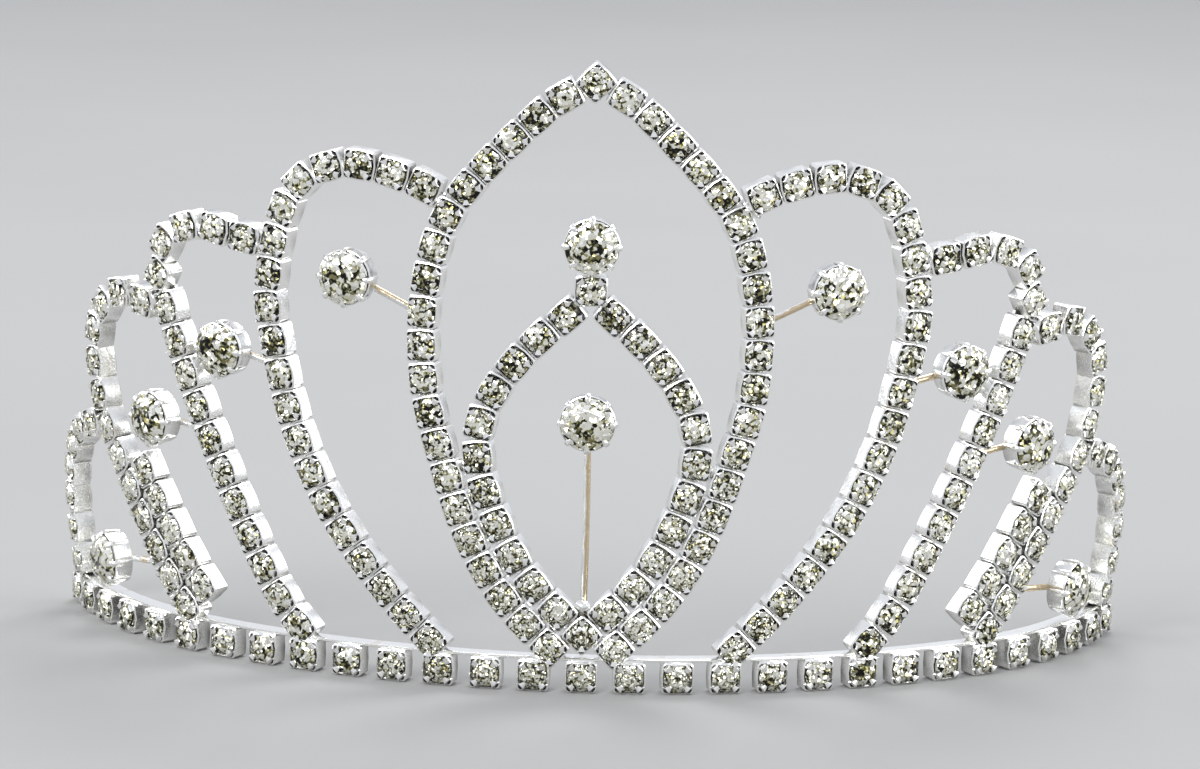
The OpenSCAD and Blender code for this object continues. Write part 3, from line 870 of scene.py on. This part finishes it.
class MountSettings(bpy.types.Operator):
    """Mount a ring with eight claws round every large stone"""

    bl_idname = "crown.mount_settings"
    bl_label = "Mount settings"

    def execute(self, context):
        sizes = context.scene.crown_settings
        cups = context.scene.crown_cups
        stones = context.scene.crown_stones
        metal = silver(context.scene)
        claws = np.arange(FACETS) * 2 * np.pi / FACETS
        outer = sizes.claw_reach - 0.25 * MM
        top = sizes.claw_top
        path = np.array(
            [
                [sizes.ring - 0.1 * MM, 0, 0.35 * MM - cups.back],
                [outer - 0.1 * MM, 0, -0.5 * MM],
                [outer, 0, 0.9 * MM],
                [outer - 0.08 * MM, 0, top - 0.6 * MM],
                [outer - 0.4 * MM, 0, top - 0.3 * MM],
                [outer - 0.85 * MM, 0, top - 0.2 * MM],
            ]
        )
        broad = np.array([0.3, 0.42, 0.5, 0.5, 0.48, 0.25]) * sizes.claw_wide
        deep = np.array([0.12, 0.2, 0.24, 0.27, 0.26, 0.14]) * MM
        claw = swept(path, np.array([0.0, 1.0, 0.0]), broad, deep, sides=10, square=0.85)
        # A setting's claws and ring darken with depth like the cups, but by a smaller share: painted
        # shade, with tarnished silver
        claw = sunk(claw, top, -cups.back)
        claw.marks["depth"] *= 0.4
        for salt, name in enumerate(LARGE_STONES):
            seats = seats_of(name, stones.large_girdle)
            batch = batches(seats, SETTING_SEED + salt)
            ring = sunk(ring_setting(sizes, cups.back), sizes.front, -cups.back)
            ring.marks["depth"] *= 0.45
            shapes = [
                on_seats(ring, seats, batch),
                on_seats(claw, turned(seats, claws), np.repeat(batch, FACETS)),
            ]
            title = name.replace(LARGE, "setting")
            make_piece(title, joined(shapes), metal, "silver_plate", "frame")
        return {"FINISHED"}


# How far below its large stone a stem ends on the row before it, in millimetres
STEM_FALLS = {"1": 4.6, "2": 1.8, "3": 1.0, "4": -1.5}


def row_before(order, side):
    """The row that an arch ends on: the arch before it, or the outer ogive for the first."""
    return f"arch_{order - 1}_stones_{side}" if order > 1 else "outer_ogive_stones"


def crossing(seats, height, reach):
    """Seat where a row crosses a height: two cups next to each other hold it between them, and every
    vector of the seat is their share-weighted mean."""
    first, second = neighbours(seats, reach)
    low, high = seats[first, 3, 2], seats[second, 3, 2]
    part = (height - low) / np.where(high == low, 1, high - low)
    found = np.nonzero((part >= 0) & (part <= 1))[0][0]
    a, b = seats[first[found]], seats[second[found]]
    return a + part[found] * (b - a)


def stem_ends(scene):
    """For every large stone, its seat and the seat that its stem is soldered to: the tip's and the
    centre's are the inner ogive's highest cup and the foot cup, and the others' lie on the row
    before theirs."""
    small = scene.crown_stones.small_girdle
    reach = NEXT_CUP * scene.crown_cups.run
    rows = {row: seats_of(row, small) for row in ROWS}
    ends = {}
    for name in LARGE_STONES:
        seat = seats_of(name, scene.crown_stones.large_girdle)[0]
        order, _, side = name.replace(LARGE + "_", "").partition("_")
        if order == "tip":
            inner = rows[INNER]
            end = inner[inner[:, 3, 2].argmax()]
        elif order == "centre":
            end = rows[FOOT][0].copy()
            end[3] += 0.5 * scene.crown_cups.wide * np.array([0, 0, 1])
        else:
            row = rows[row_before(int(order), side)]
            row = row[np.sign(row[:, 3, 0]) == np.sign(seat[3, 0])]
            end = crossing(row, seat[3, 2] - STEM_FALLS[order] * MM, reach)
        ends[name] = (seat, end)
    return ends


class DrawStems(bpy.types.Operator):
    """Draw the wire stems that carry the large stones"""

    bl_idname = "crown.draw_stems"
    bl_label = "Draw stems"

    def execute(self, context):
        scene = context.scene
        wire = finish("rubbed_stem_wire", plated_metal, scene.crown_metal, 0.7)
        depth, radius = scene.crown_cups.link_depth, scene.crown_settings.stem
        for name, (seat, end) in stem_ends(scene).items():
            start = seat[3] - depth * seat[2]
            stop = end[3] - depth * end[2]
            t = np.linspace(0, 1, STEM_RINGS)[:, None]
            bow = 0.12 * MM * np.sin(np.pi * t) * seat[0]
            path = start + (stop - start) * t + bow
            thick = radius * (1 - 0.05 * np.sin(9 * np.pi * t[:, 0]) ** 2)
            stem = drawn(swept(path, np.array([0.0, -1.0, 0.0]), thick, thick, 14, 1.0), 0.1, 0.15)
            # The plate is rubbed off on the side that faces right, where the wire shows its brass
            aside = (stem.points.reshape(STEM_RINGS, -1, 3) - path[:, None])[..., 0].ravel() / radius
            stem.marks["worn"] = np.clip(0.5 + 1.5 * aside, 0, 1)
            title = name.replace(LARGE, "stem")
            make_piece(title, stem, wire, "silver_plate", "frame")
        return {"FINISHED"}


def blob_shape():
    """A drop of solder of radius one: a ball of rings, pushed in and out by a sum of sines."""
    up = np.linspace(-0.46, 0.46, 6)[:, None] * np.pi
    a = (np.arange(9) * 2 * np.pi / 9)[None]
    r = 1 + 0.08 * np.sin(3 * a + 4 * up) + 0.06 * np.sin(5 * up - 2 * a)
    ball = np.stack([r * np.cos(up) * np.cos(a), r * np.cos(up) * np.sin(a), r * np.sin(up)], axis=-1)
    return skin(ball)


def between(first, second):
    """Seats halfway between pairs of seats: every vector is the mean of the two."""
    mean = (first + second) / 2
    mean[:, :3] = unit(mean[:, :3])
    return mean


class RunSolder(bpy.types.Operator):
    """Run solder between the rows and at the feet of the stems"""

    bl_idname = "crown.run_solder"
    bl_label = "Run solder"

    def execute(self, context):
        scene = context.scene
        cups = scene.crown_cups
        rows = [seats_of(row, scene.crown_stones.small_girdle) for row in ROWS]
        owner = np.repeat(np.arange(len(rows)), [len(r) for r in rows])
        seats = np.concatenate(rows)
        first, second = neighbours(seats, SOLDERED * cups.run)
        apart = owner[first] != owner[second]
        joins = between(seats[first[apart]], seats[second[apart]])
        joins[:, 3] -= cups.link_depth * joins[:, 2]
        rng = np.random.default_rng(LUMP_SEED)
        size = (0.75 + 0.35 * rng.random(len(joins))) * MM
        joins[:, :3] *= size[:, None, None]
        joins[:, 2] *= 0.5
        feet = np.array([end for _, end in stem_ends(scene).values()])
        feet[:, 3] -= cups.link_depth * feet[:, 2]
        feet[:, :3] *= 1.0 * MM
        feet[:, 2] *= 0.55
        # The drop at the foot of the middle stem has run over the front of its cup
        drop = seats_of(FOOT, scene.crown_stones.small_girdle)
        drop[:, :2] = turned(drop, np.array([-np.pi / 4]))[:, :2]
        drop[:, 3] += np.array([0, 0, 0.93 * cups.wide]) + 0.3 * MM * drop[:, 2]
        drop[:, :3] *= np.array([1.15, 0.8, 1.0])[:, None] * MM
        lumps = np.concatenate([joins, feet, drop, self.bars(rows), self.runs(rows)])
        solder = on_seats(blob_shape(), lumps, batches(lumps, SOLDER_SEED))
        solder.marks["depth"] = np.full(len(solder.points), 0.1)
        make_piece("solder", solder, silver(scene), "silver_plate", "frame")
        return {"FINISHED"}

    def runs(self, rows):
        """Solder that ran from the strip over the top edge of each band cup: lumps as long as the cup
        is wide, shifted and sized at random."""
        runs = rows[ROWS.index(BAND)].copy()
        up = np.array([0.0, 0.0, 1.0])
        side = unit(np.cross(up, runs[:, 2]))
        rng = np.random.default_rng(RUN_SEED)
        share_of = 0.6 + 0.6 * rng.random((3, len(runs), 1))
        runs[:, 3] += 1.78 * MM * up + 0.95 * MM * runs[:, 2] + 0.5 * MM * (share_of[0] - 0.9) * side
        runs[:, 0] = 1.7 * MM * share_of[1] * side
        runs[:, 1] = 0.4 * MM * share_of[2] * up
        runs[:, 2] *= 0.42 * MM
        return runs

    def bars(self, rows):
        """A bar of solder where an arch ends on the row before it: it lies between the two closest
        cups of the upper half, across the way from one to the other."""
        seats = dict(zip(ROWS, rows))
        found = []
        for order in (1, 2, 3, 4):
            for side in ("left", "right"):
                arch = seats[f"arch_{order}_stones_{side}"]
                before = seats[row_before(order, side)]
                arch = arch[arch[:, 3, 2] > arch[:, 3, 2].mean()]
                gap = np.linalg.norm(arch[:, None, 3] - before[None, :, 3], axis=2)
                a, b = np.unravel_index(gap.argmin(), gap.shape)
                bar = between(arch[a : a + 1], before[b : b + 1])[0]
                toward = unit(before[b][3] - arch[a][3])
                bar[0] = 0.42 * MM * toward
                bar[1] = 1.7 * MM * unit(np.cross(bar[2], toward))
                bar[3] += 0.55 * MM * bar[2]
                bar[2] = 0.85 * MM * bar[2]
                found.append(bar)
        return np.array(found)


# Stage

# Each light's name, place and side in metres, and the value of StageLook that is its power
LIGHTS = (
    ("key_light", (-0.55, -0.75, 0.85), 0.6, "key"),
    ("fill_light", (0.85, -0.5, 0.35), 0.6, "fill"),
    ("back_light", (0.15, 0.6, 0.75), 0.4, "back"),
    ("left_light", (-1.0, 0.3, 0.5), 0.8, "side"),
    ("right_light", (1.0, 0.3, 0.5), 0.8, "side"),
)
# The middle of the crown, which every light faces
LIT_POINT = (0, 0, 0.04)


def area_light(name, spot, aim, size, power):
    """A square light whose own -Z axis points from its spot to its aim."""
    lamp = bpy.data.lights.new(name, "AREA")
    lamp.size = size
    lamp.energy = power
    light = bpy.data.objects.new(name, lamp)
    back = unit(np.array(spot) - np.array(aim))
    right = unit(np.cross([0, 0, 1], back))
    turn = np.stack([right, np.cross(back, right), back], axis=1)
    light.matrix_world = Matrix.Translation(spot) @ Matrix(turn.tolist()).to_4x4()
    bpy.context.scene.collection.objects.link(light)


class SetStage(bpy.types.Operator):
    """Lay the floor and set the lights and the camera"""

    bl_idname = "crown.set_stage"
    bl_label = "Set stage"

    def execute(self, context):
        scene = context.scene
        look = scene.crown_stage
        corners = np.array([[-1, -1, 0], [1, -1, 0], [1, 1, 0], [-1, 1, 0]]) * look.floor_reach
        mesh = bpy.data.meshes.new("paper_floor")
        mesh.from_pydata(corners.tolist(), [], [[0, 1, 2, 3]])
        mesh.materials.append(finish("matt_paper", matt_paper, look.floor))
        floor = bpy.data.objects.new("paper_floor", mesh)
        scene.collection.objects.link(floor)
        world = bpy.data.worlds.new("soft_daylight")
        world.use_nodes = True
        sky = world.node_tree.nodes["Background"]
        sky.inputs["Color"].default_value = (*linear("#F4F7FF"), 1)
        sky.inputs["Strength"].default_value = look.sky
        scene.world = world
        scene.view_settings.view_transform = "Standard"
        for name, spot, size, power in LIGHTS:
            area_light(name, spot, LIT_POINT, size, getattr(look, power))
        self.aim_camera(scene)
        return {"FINISHED"}

    def aim_camera(self, scene):
        """The camera stands back from its aim along its own line of sight, tilted, turned and
        rolled."""
        place = scene.crown_camera
        down, turn, roll = place.down, place.turn, place.roll
        ahead = np.array([np.sin(turn) * np.cos(down), np.cos(turn) * np.cos(down), -np.sin(down)])
        level = np.array([np.cos(turn), -np.sin(turn), 0])
        rise = np.cross(level, ahead)
        right = np.cos(roll) * level + np.sin(roll) * rise
        up = np.cos(roll) * rise - np.sin(roll) * level
        lens = bpy.data.cameras.new("camera")
        lens.lens = place.lens
        lens.sensor_width = 36
        lens.clip_start = 0.01
        camera = bpy.data.objects.new("camera", lens)
        spot = np.array(place.aim) - place.distance * ahead
        axes = np.stack([right, up, -ahead], axis=1)
        camera.matrix_world = Matrix.Translation(spot.tolist()) @ Matrix(axes.tolist()).to_4x4()
        scene.collection.objects.link(camera)
        scene.camera = camera


OPERATORS = (
    CutSmallStones,
    CutLargeStones,
    StampCups,
    LayStrip,
    MountSettings,
    DrawStems,
    RunSolder,
    SetStage,
)


class CrownPanel(bpy.types.Panel):
    """The steps that make the crown, in order, and their sizes and looks"""

    bl_idname = "VIEW3D_PT_crown"
    bl_label = "Pageant crown"
    bl_space_type = "VIEW_3D"
    bl_region_type = "UI"
    bl_category = "Crown"

    def draw(self, context):
        for step in OPERATORS:
            self.layout.operator(step.bl_idname)
        for name, group in GROUPS.items():
            box = self.layout.box()
            for value in group.__annotations__:
                box.prop(getattr(context.scene, name), value)


CLASSES = (*GROUPS.values(), *OPERATORS, CrownPanel)


def register():
    for made in CLASSES:
        bpy.utils.register_class(made)
    for name, group in GROUPS.items():
        setattr(bpy.types.Scene, name, PointerProperty(type=group))


def unregister():
    for name in GROUPS:
        delattr(bpy.types.Scene, name)
    for made in reversed(CLASSES):
        bpy.utils.unregister_class(made)


def main():
    register()
    bpy.ops.crown.cut_small_stones()
    bpy.ops.crown.cut_large_stones()
    bpy.ops.crown.stamp_cups()
    bpy.ops.crown.lay_strip()
    bpy.ops.crown.mount_settings()
    bpy.ops.crown.draw_stems()
    bpy.ops.crown.run_solder()
    bpy.ops.crown.set_stage()


if __name__ == "__main__":
    main()
